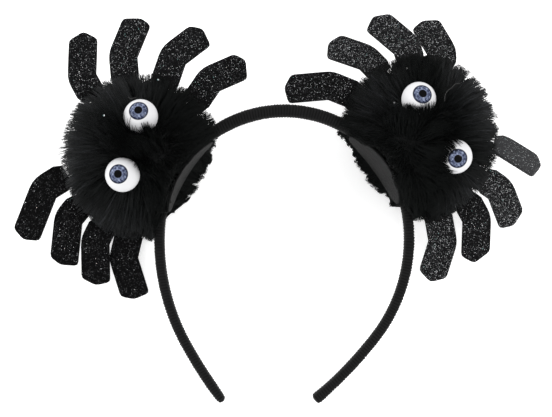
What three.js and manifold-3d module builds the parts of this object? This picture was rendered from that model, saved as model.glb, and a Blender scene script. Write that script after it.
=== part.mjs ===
// Spider headband: a wound hoop with a fur spider on each shoulder, laid down on its back.
// Millimetres. The hoop's own frame has its origin at the centre of the crown arc, x to the right,
// y towards the crown and z towards the viewer. Laid down, it rests on both pompoms and both tips.

import * as THREE from 'three';
import { mergeVertices } from 'three/addons/utils/BufferGeometryUtils.js';
import Module from 'manifold-3d';

const wasm = await Module();
wasm.setup();

const { degToRad, lerp, seededRandom, smoothstep } = THREE.MathUtils;

// Air between neighbouring pieces
const GAP = 0.35;

// The pompoms lift the crown, so that the hoop's plane leans by this many degrees
const LIE_TILT = 15.5;

// Hoop centre line: a crown arc, then two easier arcs down each arm; degrees, counterclockwise from +x
const CROWN_RADIUS = 64.8;
const LEFT_ARM = {
  leaves: 176.6,
  turn: 1,
  arcs: [{ radius: 111.5, sweep: 32.4 }, { radius: 255, sweep: 7.9 }],
};
const RIGHT_ARM = {
  leaves: 5,
  turn: -1,
  arcs: [{ radius: 83.6, sweep: 42.8 }, { radius: 209, sweep: 12.5 }],
};

// Wound section: thick across the hoop, deep along its axis, by the share of the way from left to right tip
const BAND_SECTIONS = [
  { along: 0, thick: 2.6, deep: 5.4 },
  { along: 0.006, thick: 3.8, deep: 7.4 },
  { along: 0.025, thick: 4.3, deep: 8 },
  { along: 0.25, thick: 4.5, deep: 8 },
  { along: 0.49, thick: 5.7, deep: 8 },
  { along: 0.73, thick: 4.6, deep: 8 },
  { along: 0.97, thick: 4.4, deep: 8 },
  { along: 0.995, thick: 5, deep: 8 },
  { along: 1, thick: 4.2, deep: 7 },
];
const BAND_STEPS = 58;
const BAND_SIDES = 12;
const BAND_SQUARENESS = 2.6;

// Felt disc bent along the inner side of the hoop
const PAD_DIAMETER = 43;
const PAD_THICK = 1.2;
const PAD_RADIUS = 61.25;
const PAD_SIDES = 28;
const PAD_WALL = { reach: 40, segments: 18 };

// Fur ball: locks rise from a head
const LOCK_DETAIL = 3;
const LOCK_ROOT = 40.4;
const LOCK_REACH = 43.5;
const LOCK_SPREAD = 0.035;
const LOCK_COMB = 0.45;
// Locks pressed together where the ball lies on the floor: cosines of the angle from straight down
const PRESSED = { none: 0.72, full: 0.92 };
// The side towards the hoop's middle is flattened by a round face, out of which the fur bulges below the pad
const FUR_FLAT_RADIUS = 62.9;
const FUR_FLAT_SLIDE = 0.8;
const FUR_FLAT_SIDES = 40;
const FUR_BULGE_LEVEL = -24;
const FUR_BULGE_DETAIL = 7;
// Cut fur is freed of edges shorter than this
const FUR_SHORTEST_EDGE = 0.1;

// Ball eyes seated in the fur
const EYE_DIAMETER = 17;
const EYE_SEAT = 36.5;
const EYE_SIDES = 18;
const EYE_RINGS = 11;

// Foam legs, rooted in the fur as far from its centre as the seat
const LEG_WIDTH = 14.7;
const LEG_THICK = 2;
const LEG_SEAT = 38;
const LEG_ROOT_WIDTH = 11;
const LEG_TAPER = 4;
const LEG_LAYER = 1.3;
const LEG_TIP_ROUND = 1.8;
const KNEE_STEPS = 3;

// A block under the floor that trims what lies on it
const FLOOR_BLOCK = { wide: 1000, deep: 100 };

// Both spiders, with places from the pompom's centre. The fur bulges in to a reach from the hoop's axis,
// and its flattened side leans. It is cut short by a share towards one bearing, and the band pushes it
// aside below the pad, down from each notch and to its right or left. An eye's yaw and pitch turn its gaze
// from straight out. A leg's thigh is its bearing at the knee, bend its turn there and twist its turn
// about the thigh, where it doesn't lie flat. outer and inner are the lengths of the shin's edges, point
// its length to the tip, offset the tip's way to the outer edge.
const SPIDERS = [
  {
    side: 'left',
    centre: { x: -75.3, y: 41.1 },
    pad: { at: 148, roll: 0 },
    bulge: { reach: 55.2, radius: 50, lean: 0 },
    short: { bearing: 182, share: 0.1 },
    notches: [{ x: 8, y: -29.4, to: 1 }, { x: 16.5, y: -25, to: 1 }],
    seed: 11,
    whorl: { x: -0.35, y: 0.1 },
    eyes: [
      { name: 'upper', x: 4.3, y: 18.3, yaw: -2, pitch: 18 },
      { name: 'lower', x: -4.2, y: -10.5, yaw: -8, pitch: 1 },
    ],
    legs: [
      { x: -29.7, y: 41.1, thigh: 119, bend: -31, outer: 18.7, point: 23.6, offset: 0, inner: 20.3 },
      { x: -8.7, y: 52.7, thigh: 95, bend: -27.5, outer: 17.7, point: 21.5, offset: -1.5, inner: 20 },
      { x: 17.9, y: 52.2, thigh: 71, bend: -34, outer: 15.8, point: 20.5, offset: 2, inner: 18.6 },
      { x: 36.8, y: 40, thigh: 56, bend: -32.5, outer: 16.6, point: 21, offset: 2, inner: 17.8 },
      { x: -49.1, y: -16.8, thigh: 212, bend: 36.5, outer: 24.9, point: 28.6, offset: 0.5, inner: 26.2 },
      { x: -37.1, y: -32.2, thigh: 230, bend: 34, outer: 20.9, point: 24.5, offset: 1.7, inner: 24.1 },
      { x: -22.8, y: -44.1, thigh: 243.5, bend: 27.5, outer: 18.9, point: 22.8, offset: 0, inner: 21.3 },
      { x: -8.5, y: -52.9, thigh: 256.5, bend: 31, outer: 18.7, point: 22.2, offset: 1, inner: 21.3 },
    ],
  },
  {
    side: 'right',
    centre: { x: 70.8, y: 50.4 },
    pad: { at: 36.2, roll: 4.7 },
    bulge: { reach: 56, radius: 32, lean: 2 },
    short: { bearing: -6, share: 0.1 },
    notches: [{ x: -4, y: -35.5, to: -1 }],
    seed: 29,
    whorl: { x: 0.3, y: 0.25 },
    eyes: [
      { name: 'upper', x: -4.8, y: 17.5, yaw: 7, pitch: 14 },
      { name: 'lower', x: 12.9, y: -10.8, yaw: 2, pitch: -10 },
    ],
    legs: [
      { x: -46.9, y: 27.4, thigh: 158, bend: 27, outer: 19.9, point: 24.1, offset: 1, inner: 22.4 },
      { x: -28.1, y: 42.2, thigh: 135, bend: 29, twist: 20, outer: 16.1, point: 21.4, offset: 1, inner: 20 },
      { x: -7.5, y: 47.9, thigh: 107, bend: 33, outer: 17.3, point: 23.2, offset: 0.5, inner: 21.2 },
      { x: 11.7, y: 44.6, thigh: 85.5, bend: 35.5, outer: 15.7, point: 20, offset: -0.5, inner: 18.8 },
      { x: 43.3, y: -4.5, thigh: -16, bend: -23, twist: -40, outer: 16, point: 21.2, offset: 2, inner: 21 },
      { x: 41.6, y: -26.7, thigh: -35, bend: -34, outer: 14.4, point: 19.9, offset: 0, inner: 18.8 },
      { x: 29, y: -41.7, thigh: -61.5, bend: -30.5, outer: 16.6, point: 23.1, offset: -0.5, inner: 19.7 },
      { x: 11.8, y: -53.8, thigh: -80, bend: -27.5, outer: 17.4, point: 21.9, offset: 0, inner: 17.7 },
    ],
  },
];

const MATERIALS = {
  wrap: { color: 0x1a1a1c, roughness: 0.85, metalness: 0 },
  fur: { color: 0x0b0b0d, roughness: 0.9, metalness: 0 },
  felt: { color: 0x2e2e30, roughness: 1, metalness: 0 },
  glitter: { color: 0x141416, roughness: 0.55, metalness: 0.1 },
  eye: { color: 0xf2f2f4, roughness: 0.12, metalness: 0 },
};

function piece(name, geometry, look) {
  const mesh = new THREE.Mesh(geometry, new THREE.MeshStandardMaterial(MATERIALS[look]));
  mesh.name = name;
  return mesh;
}

// Solids for cutting and joining

function onlyPositions(geometry) {
  const bare = geometry.clone();
  bare.deleteAttribute('normal');
  bare.deleteAttribute('uv');
  return mergeVertices(bare);
}

function toSolid(geometry, matrix = new THREE.Matrix4()) {
  const shared = onlyPositions(geometry).applyMatrix4(matrix);
  const mesh = new wasm.Mesh({
    numProp: 3,
    vertProperties: Float32Array.from(shared.attributes.position.array),
    triVerts: Uint32Array.from(shared.index.array),
  });
  return new wasm.Manifold(mesh);
}

function toGeometry(solid) {
  const mesh = solid.getMesh();
  const geometry = new THREE.BufferGeometry();
  geometry.setAttribute('position', new THREE.BufferAttribute(mesh.vertProperties, 3));
  geometry.setIndex(new THREE.BufferAttribute(mesh.triVerts, 1));
  geometry.computeVertexNormals();
  return geometry;
}

function largestBody(solid) {
  const bodies = solid.decompose();
  bodies.sort((a, b) => b.volume() - a.volume());
  return bodies[0];
}

// Closed skin over a row of rings that all have the same number of points
function loft(rings) {
  const sides = rings[0].length;
  const index = [];
  for (let i = 0; i + 1 < rings.length; i += 1) {
    for (let k = 0; k < sides; k += 1) {
      const a = i * sides + k;
      const b = i * sides + ((k + 1) % sides);
      index.push(a, b, b + sides, a, b + sides, a + sides);
    }
  }
  const last = (rings.length - 1) * sides;
  for (let k = 1; k + 1 < sides; k += 1) {
    index.push(0, k + 1, k);
    index.push(last, last + k, last + k + 1);
  }
  const geometry = new THREE.BufferGeometry().setFromPoints(rings.flat());
  geometry.setIndex(index);
  geometry.computeVertexNormals();
  return geometry;
}

// Band

function towards(degrees, length = 1) {
  return new THREE.Vector2(length, 0).rotateAround(new THREE.Vector2(), degToRad(degrees));
}

// The arcs of one arm, from the crown down to the tip, each touching the one before
function armArcs(arm) {
  let centre = new THREE.Vector2();
  let radius = CROWN_RADIUS;
  let from = arm.leaves;
  return arm.arcs.map((arc) => {
    centre = centre.clone().add(towards(from, radius - arc.radius));
    radius = arc.radius;
    const start = from;
    from += arm.turn * arc.sweep;
    return { centre, radius, from: start, to: from };
  });
}

// From the left tip over the crown to the right tip, clockwise all the way
function hoopPath() {
  const left = armArcs(LEFT_ARM).reverse().map((arc) => ({ ...arc, from: arc.to, to: arc.from }));
  const middle = new THREE.Vector2();
  const crown = { centre: middle, radius: CROWN_RADIUS, from: LEFT_ARM.leaves, to: RIGHT_ARM.leaves };
  const path = new THREE.CurvePath();
  for (const { centre, radius, from, to } of [...left, crown, ...armArcs(RIGHT_ARM)]) {
    const ends = [degToRad(from), degToRad(to)];
    path.add(new THREE.EllipseCurve(centre.x, centre.y, radius, radius, ...ends, true));
  }
  return path;
}

function bandSize(along) {
  const next = BAND_SECTIONS.findIndex((section, i) => i > 0 && along <= section.along);
  const before = BAND_SECTIONS[next - 1];
  const after = BAND_SECTIONS[next];
  const share = (along - before.along) / (after.along - before.along);
  return { thick: lerp(before.thick, after.thick, share), deep: lerp(before.deep, after.deep, share) };
}

function squareRound(value) {
  return Math.sign(value) * Math.abs(value) ** (2 / BAND_SQUARENESS);
}

function bandGeometry(grow) {
  const path = hoopPath();
  const even = Array.from({ length: BAND_STEPS + 1 }, (_, i) => i / BAND_STEPS);
  const sized = BAND_SECTIONS.map((section) => section.along);
  const stations = [...new Set([...even, ...sized])].sort((a, b) => a - b);
  const rings = stations.map((along) => {
    const middle = path.getPoint(along);
    const ahead = path.getTangent(along);
    const { thick, deep } = bandSize(along);
    return Array.from({ length: BAND_SIDES }, (_, k) => {
      const turn = ((k + 0.5) / BAND_SIDES) * 2 * Math.PI;
      const across = squareRound(Math.cos(turn)) * (thick / 2 + grow);
      const up = squareRound(Math.sin(turn)) * (deep / 2 + grow);
      return new THREE.Vector3(middle.x - ahead.y * across, middle.y + ahead.x * across, up);
    });
  });
  return loft(rings);
}

// Pads

// A stretch of round wall about the hoop's axis, trimmed to a disc; the origin is the pad's centre
function bentDisc(innerRadius, outerRadius, diameter) {
  const reach = degToRad(PAD_WALL.reach);
  const curveSegments = PAD_WALL.segments;
  const wall = new THREE.Shape();
  wall.absarc(-PAD_RADIUS, 0, outerRadius, -reach, reach, false);
  wall.absarc(-PAD_RADIUS, 0, innerRadius, reach, -reach, true);
  const slab = new THREE.ExtrudeGeometry(wall, { depth: 2 * diameter, bevelEnabled: false, curveSegments });
  slab.translate(0, 0, -diameter);
  const disc = new THREE.CylinderGeometry(diameter / 2, diameter / 2, CROWN_RADIUS, PAD_SIDES);
  disc.rotateZ(Math.PI / 2);
  return toGeometry(toSolid(slab).intersect(toSolid(disc)));
}

function seatOnHoop(object, angle, roll) {
  const place = towards(angle, PAD_RADIUS);
  object.position.set(place.x, place.y, 0);
  object.rotation.set(0, degToRad(roll), degToRad(angle), 'ZYX');
  return object;
}

function padMesh(spider) {
  const geometry = bentDisc(PAD_RADIUS - PAD_THICK / 2, PAD_RADIUS + PAD_THICK / 2, PAD_DIAMETER);
  return seatOnHoop(piece(`${spider.side}_pad`, geometry, 'felt'), spider.pad.at, spider.pad.roll);
}

// The room that the pad takes out of the fur, and the round face that flattens the fur but for the bulge
function padRoom(spider) {
  const outer = PAD_RADIUS + PAD_THICK / 2 + GAP;
  const pocket = new THREE.Mesh(bentDisc(CROWN_RADIUS / 2, outer, PAD_DIAMETER + 2 * GAP));
  return seatOnHoop(pocket, spider.pad.at, spider.pad.roll);
}

function flatSide(spider) {
  const tall = 4 * LOCK_REACH;
  const round = new THREE.CylinderGeometry(FUR_FLAT_RADIUS, FUR_FLAT_RADIUS, tall, FUR_FLAT_SIDES);
  round.rotateX(Math.PI / 2);
  round.translate(-PAD_RADIUS, FUR_FLAT_SLIDE, 0);
  const { reach, radius, lean } = spider.bulge;
  const bulge = new THREE.IcosahedronGeometry(radius, FUR_BULGE_DETAIL);
  bulge.translate(reach + radius - PAD_RADIUS, 0, FUR_BULGE_LEVEL);
  const room = toGeometry(toSolid(round).subtract(toSolid(bulge)));
  return seatOnHoop(new THREE.Mesh(room), spider.pad.at, lean);
}

function bandNotch({ x, y, to }) {
  const block = new THREE.BoxGeometry(LOCK_REACH, LOCK_REACH, 4 * LOCK_REACH);
  return new THREE.Mesh(block.translate(x + (to * LOCK_REACH) / 2, y - LOCK_REACH / 2, 0));
}

// Pompoms

// A head of triangles, each raised to a lock whose tip is combed round the whorl
function furBall(spider) {
  const head = onlyPositions(new THREE.IcosahedronGeometry(1, LOCK_DETAIL));
  const spots = head.attributes.position;
  const shortWay = towards(spider.short.bearing);
  const whorl = new THREE.Vector3(spider.whorl.x, spider.whorl.y, 1).normalize();
  const down = new THREE.Vector3(0, -Math.sin(degToRad(LIE_TILT)), -Math.cos(degToRad(LIE_TILT)));
  const shortShare = (way) => Math.max(way.x * shortWay.x + way.y * shortWay.y, 0) ** 2;
  const shorter = (way) => 1 - spider.short.share * shortShare(way);
  const wayOf = (_, i) => new THREE.Vector3().fromBufferAttribute(spots, i);
  const ways = Array.from({ length: spots.count }, wayOf);
  const points = ways.map((way) => {
    const pressed = smoothstep(way.dot(down), PRESSED.none, PRESSED.full);
    return way.clone().multiplyScalar(lerp(LOCK_ROOT, LOCK_REACH, pressed) * shorter(way));
  });
  const index = [];
  seededRandom(spider.seed);
  for (let f = 0; f < head.index.count; f += 3) {
    const [a, b, c] = [0, 1, 2].map((k) => head.index.getX(f + k));
    const tip = ways[a].clone().add(ways[b]).add(ways[c]).divideScalar(3);
    const comb = whorl.clone().cross(tip).setLength(LOCK_COMB * ways[a].distanceTo(tip));
    tip.add(comb).normalize();
    const reach = LOCK_REACH * (1 + LOCK_SPREAD * (2 * seededRandom() - 1));
    points.push(tip.multiplyScalar(reach * shorter(tip)));
    const top = points.length - 1;
    index.push(a, b, top, b, c, top, c, a, top);
  }
  const geometry = new THREE.BufferGeometry().setFromPoints(points);
  geometry.setIndex(index);
  return geometry;
}

// Takes the room of its neighbours out of a mesh, wherever the two stand in the scene
function cutOut(mesh, cutters) {
  const home = mesh.matrixWorld.clone().invert();
  let rest = toSolid(mesh.geometry);
  for (const cutter of cutters) {
    rest = rest.subtract(toSolid(cutter.geometry, home.clone().multiply(cutter.matrixWorld)));
  }
  mesh.geometry = toGeometry(largestBody(rest.asOriginal().simplify(FUR_SHORTEST_EDGE)));
}

// Eyes

function eyeMesh(spider, eye, grow = 0) {
  const ball = new THREE.SphereGeometry(EYE_DIAMETER / 2 + grow, EYE_SIDES, EYE_RINGS);
  ball.rotateX(Math.PI / 2);
  const mesh = piece(`${spider.side}_eye_${eye.name}`, ball, 'eye');
  mesh.position.set(eye.x, eye.y, Math.sqrt(EYE_SEAT ** 2 - eye.x ** 2 - eye.y ** 2));
  mesh.rotation.set(-degToRad(eye.pitch), degToRad(eye.yaw), 0, 'YXZ');
  return mesh;
}

// Legs

function rounded(before, corner, after) {
  const from = before.clone().sub(corner).setLength(LEG_TIP_ROUND).add(corner);
  const to = after.clone().sub(corner).setLength(LEG_TIP_ROUND).add(corner);
  return new THREE.QuadraticBezierCurve(from, corner, to).getPoints(2);
}

// Outline with the knee at the origin and the thigh along x; the outer edge turns about the inner corner
function legOutline(leg, grow) {
  const half = LEG_WIDTH / 2 + grow;
  const rootHalf = LEG_ROOT_WIDTH / 2 + grow;
  const bend = Math.abs(degToRad(leg.bend));
  const ahead = new THREE.Vector2(Math.cos(bend), -Math.sin(bend));
  const out = new THREE.Vector2(Math.sin(bend), Math.cos(bend));
  const onShin = (length, side) => ahead.clone().multiplyScalar(length).addScaledVector(out, side);
  const corner = new THREE.Vector2(-half * Math.tan(bend / 2), -half);
  const knee = Array.from({ length: KNEE_STEPS + 1 }, (_, i) => {
    const turn = (i / KNEE_STEPS) * bend;
    return new THREE.Vector2(Math.sin(turn), Math.cos(turn)).multiplyScalar(2 * half).add(corner);
  });
  const outer = onShin(leg.outer, half);
  const tip = onShin(leg.point, leg.offset);
  const inner = onShin(leg.inner, -half);
  const root = LEG_SEAT - Math.hypot(leg.x, leg.y) - grow;
  const outline = [
    corner,
    new THREE.Vector2(root + LEG_TAPER, -half),
    new THREE.Vector2(root, -rootHalf),
    new THREE.Vector2(root, rootHalf),
    new THREE.Vector2(root + LEG_TAPER, half),
    ...knee,
    ...rounded(knee[KNEE_STEPS], outer, tip),
    ...rounded(outer, tip, inner),
    ...rounded(tip, inner, corner),
  ];
  const flip = leg.bend > 0 ? -1 : 1;
  return outline.map((point) => new THREE.Vector2(point.x, flip * point.y));
}

function legMesh(spider, leg, number, grow = 0) {
  const thick = LEG_THICK + 2 * grow;
  const shape = new THREE.Shape(legOutline(leg, grow));
  const strip = new THREE.ExtrudeGeometry(shape, { depth: thick, bevelEnabled: false });
  strip.translate(0, 0, -thick / 2);
  const mesh = piece(`${spider.side}_leg_${number}`, strip, 'glitter');
  // Neighbours lie in two layers, because their roots cross inside the fur
  mesh.position.set(leg.x, leg.y, number % 2 ? LEG_LAYER : -LEG_LAYER);
  mesh.rotation.set(degToRad(leg.twist ?? 0), 0, degToRad(leg.thigh), 'ZYX');
  return mesh;
}

// Assembly

const headband = new THREE.Group();
const hoop = new THREE.Group();
const band = piece('band', bandGeometry(0), 'wrap');
hoop.add(band);
headband.add(hoop);

// Lay the hoop down with its tips on the floor
hoop.rotation.x = degToRad(LIE_TILT);
headband.updateMatrixWorld(true);
hoop.position.z = -new THREE.Box3().setFromObject(band, true).min.z;
const { wide, deep } = FLOOR_BLOCK;
const floor = new THREE.Mesh(new THREE.BoxGeometry(wide, wide, deep).translate(0, 0, -deep / 2));

for (const spider of SPIDERS) {
  const body = new THREE.Group();
  body.position.set(spider.centre.x, spider.centre.y, 0);
  const pompom = piece(`${spider.side}_pompom`, furBall(spider), 'fur');
  const eyes = spider.eyes.map((eye) => eyeMesh(spider, eye));
  const legs = spider.legs.map((leg, i) => legMesh(spider, leg, i + 1));
  body.add(pompom, ...eyes, ...legs);
  hoop.add(padMesh(spider), body);

  // Room for the neighbours, held in the same groups only while the fur is cut
  const inBody = [
    ...spider.eyes.map((eye) => eyeMesh(spider, eye, GAP)),
    ...spider.legs.map((leg, i) => legMesh(spider, leg, i + 1, GAP)),
    ...spider.notches.map(bandNotch),
  ];
  const onHoop = [new THREE.Mesh(bandGeometry(GAP)), padRoom(spider), flatSide(spider)];
  body.add(...inBody);
  hoop.add(...onHoop);
  headband.updateMatrixWorld(true);
  cutOut(pompom, [...inBody, ...onHoop, floor]);
  body.remove(...inBody);
  hoop.remove(...onHoop);
}

// The origin is the middle of the underside of the whole
headband.updateMatrixWorld(true);
const middle = new THREE.Box3().setFromObject(headband, true).getCenter(new THREE.Vector3());
hoop.position.x -= middle.x;
hoop.position.y -= middle.y;

export default headband;
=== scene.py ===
# Spider headband: a wound hoop with a fur spider on each shoulder, lying on its back.
# Objects are in metres, in the row's frame. The hoop's own frame is in millimetres, with its origin at the
# centre of the crown arc, x to the right, y towards the crown and z towards the viewer.

import math

import bmesh
import bpy
import numpy as np
from mathutils import Euler, Matrix, Vector, noise
from mathutils.bvhtree import BVHTree


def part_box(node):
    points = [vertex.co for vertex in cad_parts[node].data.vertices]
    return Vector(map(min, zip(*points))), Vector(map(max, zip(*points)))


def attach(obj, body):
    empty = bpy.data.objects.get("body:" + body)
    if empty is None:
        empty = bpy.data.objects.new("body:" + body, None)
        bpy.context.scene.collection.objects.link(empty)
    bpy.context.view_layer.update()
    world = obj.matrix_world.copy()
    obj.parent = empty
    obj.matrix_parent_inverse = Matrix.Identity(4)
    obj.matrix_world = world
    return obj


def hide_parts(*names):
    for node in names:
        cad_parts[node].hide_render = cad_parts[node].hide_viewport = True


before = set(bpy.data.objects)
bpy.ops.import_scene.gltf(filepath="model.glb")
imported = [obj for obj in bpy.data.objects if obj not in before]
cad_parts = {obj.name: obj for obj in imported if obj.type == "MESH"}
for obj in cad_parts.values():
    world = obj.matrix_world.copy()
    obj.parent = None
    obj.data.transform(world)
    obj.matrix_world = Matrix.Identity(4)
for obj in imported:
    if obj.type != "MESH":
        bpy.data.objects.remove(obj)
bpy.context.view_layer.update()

MM = 0.001
BODY = "root"

# Hoop: degrees counterclockwise from +x, arcs as (radius, sweep)
LIE_TILT = 15.5
CROWN_RADIUS = 64.8
LEFT_ARM = {"leaves": 176.6, "turn": 1, "arcs": [(111.5, 32.4), (255, 7.9)]}
RIGHT_ARM = {"leaves": 5, "turn": -1, "arcs": [(83.6, 42.8), (209, 12.5)]}

# Wound section with its fuzz, by the share of the way from left tip to right tip, pressed flatter by the pads
BAND_ALONG = [0, 0.006, 0.025, 0.25, 0.37, 0.41, 0.57, 0.61, 0.73, 0.97, 0.995, 1]
BAND_THICK = [3.2, 4.6, 5.2, 5.4, 5.4, 6.75, 6.75, 5.4, 5.4, 5.3, 5.8, 4.9]
BAND_DEEP = [5.2, 7.2, 7.75, 7.75, 7.75, 7.75, 7.75, 7.75, 7.75, 7.75, 7.75, 6.8]
BAND_SQUARENESS = 2.6
BAND_END_ROUNDING = 1.2
BAND_STEPS = 1700
BAND_SIDES = 21

# Winding: its wander is in turns, and its noise runs so many units along the band and round it
WRAP_PITCH = 1.5
WRAP_HEIGHT = 0.3
WRAP_SINK = 0.62
WRAP_ROUNDNESS = 0.75
WRAP_WANDER = 0.5
WRAP_WANDER_ALONG = 70.0
WRAP_FUZZ = 0.16
WRAP_FUZZ_ALONG = 620.0
WRAP_FUZZ_ROUND = 9.0

# Felt disc, bent along the inner side of the hoop, with a soft rim outside its flat share
PAD_DIAMETER = 43
PAD_THICK = 1.2
PAD_RADIUS = 61.25
PAD_FLAT = 0.92
PAD_RIM = 0.08
PAD_LUMP = 0.1
PAD_LUMP_SCALE = 0.45
PAD_SIDES = 96

# Fur ball, and how far its strands keep from what they lie on
FUR_REACH = 43.2
FUR_ROOT = 31
FUR_FLAT_RADIUS = 62.9
FUR_FLAT_SLIDE = 0.8
FUR_BULGE_LEVEL = -24
OFF_EYE = 0.6
OFF_PAD = 0.4
PAST_PAD = 0.3

# Eyes: rings of the iris from and to a share of the ball's radius
EYE_DIAMETER = 17
EYE_SEAT = 36.5
PUPIL_EDGE = (0.22, 0.25)
PALE_RING = (0.23, 0.35)
DARK_RING = (0.42, 0.53)
IRIS_EDGE = (0.545, 0.57)

# Legs and their glitter, strewn by the square metre, clear of the fur, its depth a share of its width
LEG_COUNT = 8
LEG_EASING = 0.2
FLAKE_DENSITY = 950000.0
FLAKE_WIDTH = 0.19
FLAKE_DEPTH = 0.22
FLAKE_TILT = 0.5
FLAKE_CLEAR = 0.8

# What has dropped on the fur
LINT_LIFT = 0.7
HAIR_WIDTH = 0.07
HAIR_STEPS = 24
SPECK_WIDTH = 0.9
SPECK_DEPTH = 0.2

# Camera: the point of the hoop's plane in the middle of the view, its distance and the width seen there
VIEW_AIM = (-4.32, 14.04, 0)
VIEW_DISTANCE = 600
VIEW_WIDTH = 287.04
SENSOR = 36
LAMP_AIM = (0, 0, 0.03)

# One seed for each random draw, and one for the offsets of the vector noise, which else follow the clock
SEEDS = {"tuft": 5, "stray": 6, "tone": 7, "sway": 8, "flash": 11, "tint": 12, "lean": 13, "size": 14}
NOISE_SEED = 1

# Places are from the pompom's centre. bulge is how far the fur reaches in behind the pad, with the lean of
# the flattened side round it, short the share that is cut off towards one bearing, and a notch (x, y, side)
# the room below the pad where the band pushes the fur up or aside. whorl is where the fur parts, gather how
# far its tips draw together in tufts, comb how far it is combed from there towards each side of it.
# An eye's gaze is its yaw and pitch from straight out, and fur lies over it from one side, narrow or broad,
# up to so many bare degrees from its middle. sheen lists the patches of painted sheen, where a few strands
# are painted lighter and the fur is glossier: a way, its breadth in degrees and a strength. glitter is how
# thickly each leg is strewn. The list after it greys each leg's foam colour, a painted sheen for the light
# that leg catches.
# specks are loose flakes on the fur, each a place, a flash and a tint, and hair is the path of a loose pale
# hair over it.
SPIDERS = [
    {
        "side": "left",
        "centre": (-75.3, 41.1),
        "pad": {"at": 148, "roll": 0},
        "bulge": {"reach": 55.2, "radius": 50, "lean": 0},
        "short": {"bearing": 182, "share": 0.1},
        "notches": [(8, -29.4, 1), (16.5, -25, 1)],
        "whorl": (11, 8, 40),
        "gather": 0.5,
        "comb": {"toward": (-1, -0.3, 0), "least": 0.22, "most": 0.55},
        "eyes": {
            "upper": {
                "place": (4.3, 18.3),
                "gaze": (-2, 18),
                "fur": {"from": (-0.35, -0.94), "narrow": 0.1, "bare": 11.3},
            },
            "lower": {
                "place": (-4.2, -10.5),
                "gaze": (-8, 1),
                "fur": {"from": (0.45, 0.89), "narrow": 0.5, "bare": 13},
            },
        },
        "sheen": [((-0.75, 0.05, 0.65), 42, 1), ((-0.3, -0.85, 0.4), 44, 1), ((-0.3, 0.75, 0.5), 42, 0.8)],
        "glitter": (1.2, 1.5, 1.1, 0.95, 0.15, 0.42, 0.13, 0.08),
        "painted_leg_sheen": (0.025, 0.045, 0.03, 0.015, 0, 0, 0, 0),
        "specks": [(-12.9, 18.3, 0.6, 0), (11.6, 37.8, 0.2, 1)],
        "hair": [(-1.5, 27.7), (-0.6, 26.9), (0.2, 26.7), (1.4, 27.1), (2.4, 27.3)],
        "seed": 3,
    },
    {
        "side": "right",
        "centre": (70.8, 50.4),
        "pad": {"at": 36.2, "roll": 4.7},
        "bulge": {"reach": 56, "radius": 32, "lean": 2},
        "short": {"bearing": -6, "share": 0.1},
        "notches": [(-4, -35.5, -1), (-4, -35.5, -1)],
        "whorl": (-5, 5, 42),
        "gather": 0.75,
        "comb": {"toward": (0.8, 0.4, 0), "least": 0.16, "most": 0.28},
        "eyes": {
            "upper": {
                "place": (-4.8, 17.5),
                "gaze": (7, 14),
                "fur": {"from": (-0.05, -1), "narrow": 0.35, "bare": 10.1},
            },
            "lower": {
                "place": (12.9, -10.8),
                "gaze": (2, -10),
                "fur": {"from": (-0.96, 0.28), "narrow": 0.2, "bare": 9.1},
            },
        },
        "sheen": [((-0.55, 0.45, 0.65), 30, 0.8), ((0.75, 0.45, 0.5), 44, 1.3), ((0.6, -0.7, 0.35), 36, 0.9)],
        "glitter": (0.95, 2.8, 2.7, 2.5, 1.6, 3.5, 1.2, 2.7),
        "painted_leg_sheen": (0.015, 0.085, 0.085, 0.075, 0.55, 0.11, 0.03, 0.05),
        "specks": [(-17.4, 15.3, 0.2, 0)],
        "hair": [(6.7, 15.7), (6.9, 17.6), (7.3, 19.2), (8.7, 21.2), (10.6, 22.5), (12.8, 24.7), (15.5, 25)],
        "seed": 8,
    },
]


# Placing


def node_middle(node):
    low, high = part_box(node)
    return (Vector(low) + Vector(high)) / 2


def eye_middle(eye):
    """From the pompom's centre, in millimetres"""
    x, y = eye["place"]
    return np.array([x, y, math.sqrt(EYE_SEAT**2 - x**2 - y**2)])


def lay_hoop_down():
    """Hoop millimetres to row metres: the tilt is known, and an eye's own box gives the place"""
    turn = Matrix.Rotation(math.radians(LIE_TILT), 4, "X") @ Matrix.Scale(MM, 4)
    spider = SPIDERS[0]
    middle = eye_middle(spider["eyes"]["upper"]) + (*spider["centre"], 0)
    seen = node_middle(f"{spider['side']}_eye_upper")
    return Matrix.Translation(seen - turn @ Vector(middle)) @ turn


HOOP = lay_hoop_down()
HOOP_TURN = Matrix.Rotation(math.radians(LIE_TILT), 3, "X")
HOOP_AXIS = HOOP_TURN @ Vector((0, 0, 1))


def in_row(points):
    """Hoop millimetres, one row a point, as row metres"""
    matrix = np.array(HOOP)
    return np.asarray(points, float) @ matrix[:3, :3].T + matrix[:3, 3]


def towards(degrees, length=1.0):
    turn = math.radians(degrees)
    return np.array([math.cos(turn), math.sin(turn)]) * length


def linked(name, data):
    """A new object of the scene"""
    item = bpy.data.objects.new(name, data)
    bpy.context.scene.collection.objects.link(item)
    return item


def show(name, mesh, material, slot, *nodes):
    """Makes the mesh a piece of the headband that stands for the named CAD nodes"""
    piece = linked(name, mesh)
    if not mesh.materials:
        mesh.materials.append(material)
    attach(piece, BODY)
    if nodes:
        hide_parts(*nodes)
    return piece


def drawn_mesh(name, points, edges, faces):
    mesh = bpy.data.meshes.new(name)
    mesh.from_pydata(points, edges, faces)
    return mesh


def shaped_mesh(name, shape):
    """A mesh of a bmesh that is done"""
    mesh = bpy.data.meshes.new(name)
    shape.to_mesh(mesh)
    shape.free()
    return mesh


def mark(mesh, name, values, kind="FLOAT"):
    """Stores one value or vector a vertex"""
    layer = mesh.attributes.new(name, kind, "POINT")
    field = "vector" if kind == "FLOAT_VECTOR" else "value"
    layer.data.foreach_set(field, np.asarray(values, np.float32).ravel())


def unmark(mesh, names):
    for name in [layer.name for layer in mesh.attributes if layer.name in names]:
        mesh.attributes.remove(mesh.attributes[name])


# Node trees


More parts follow.
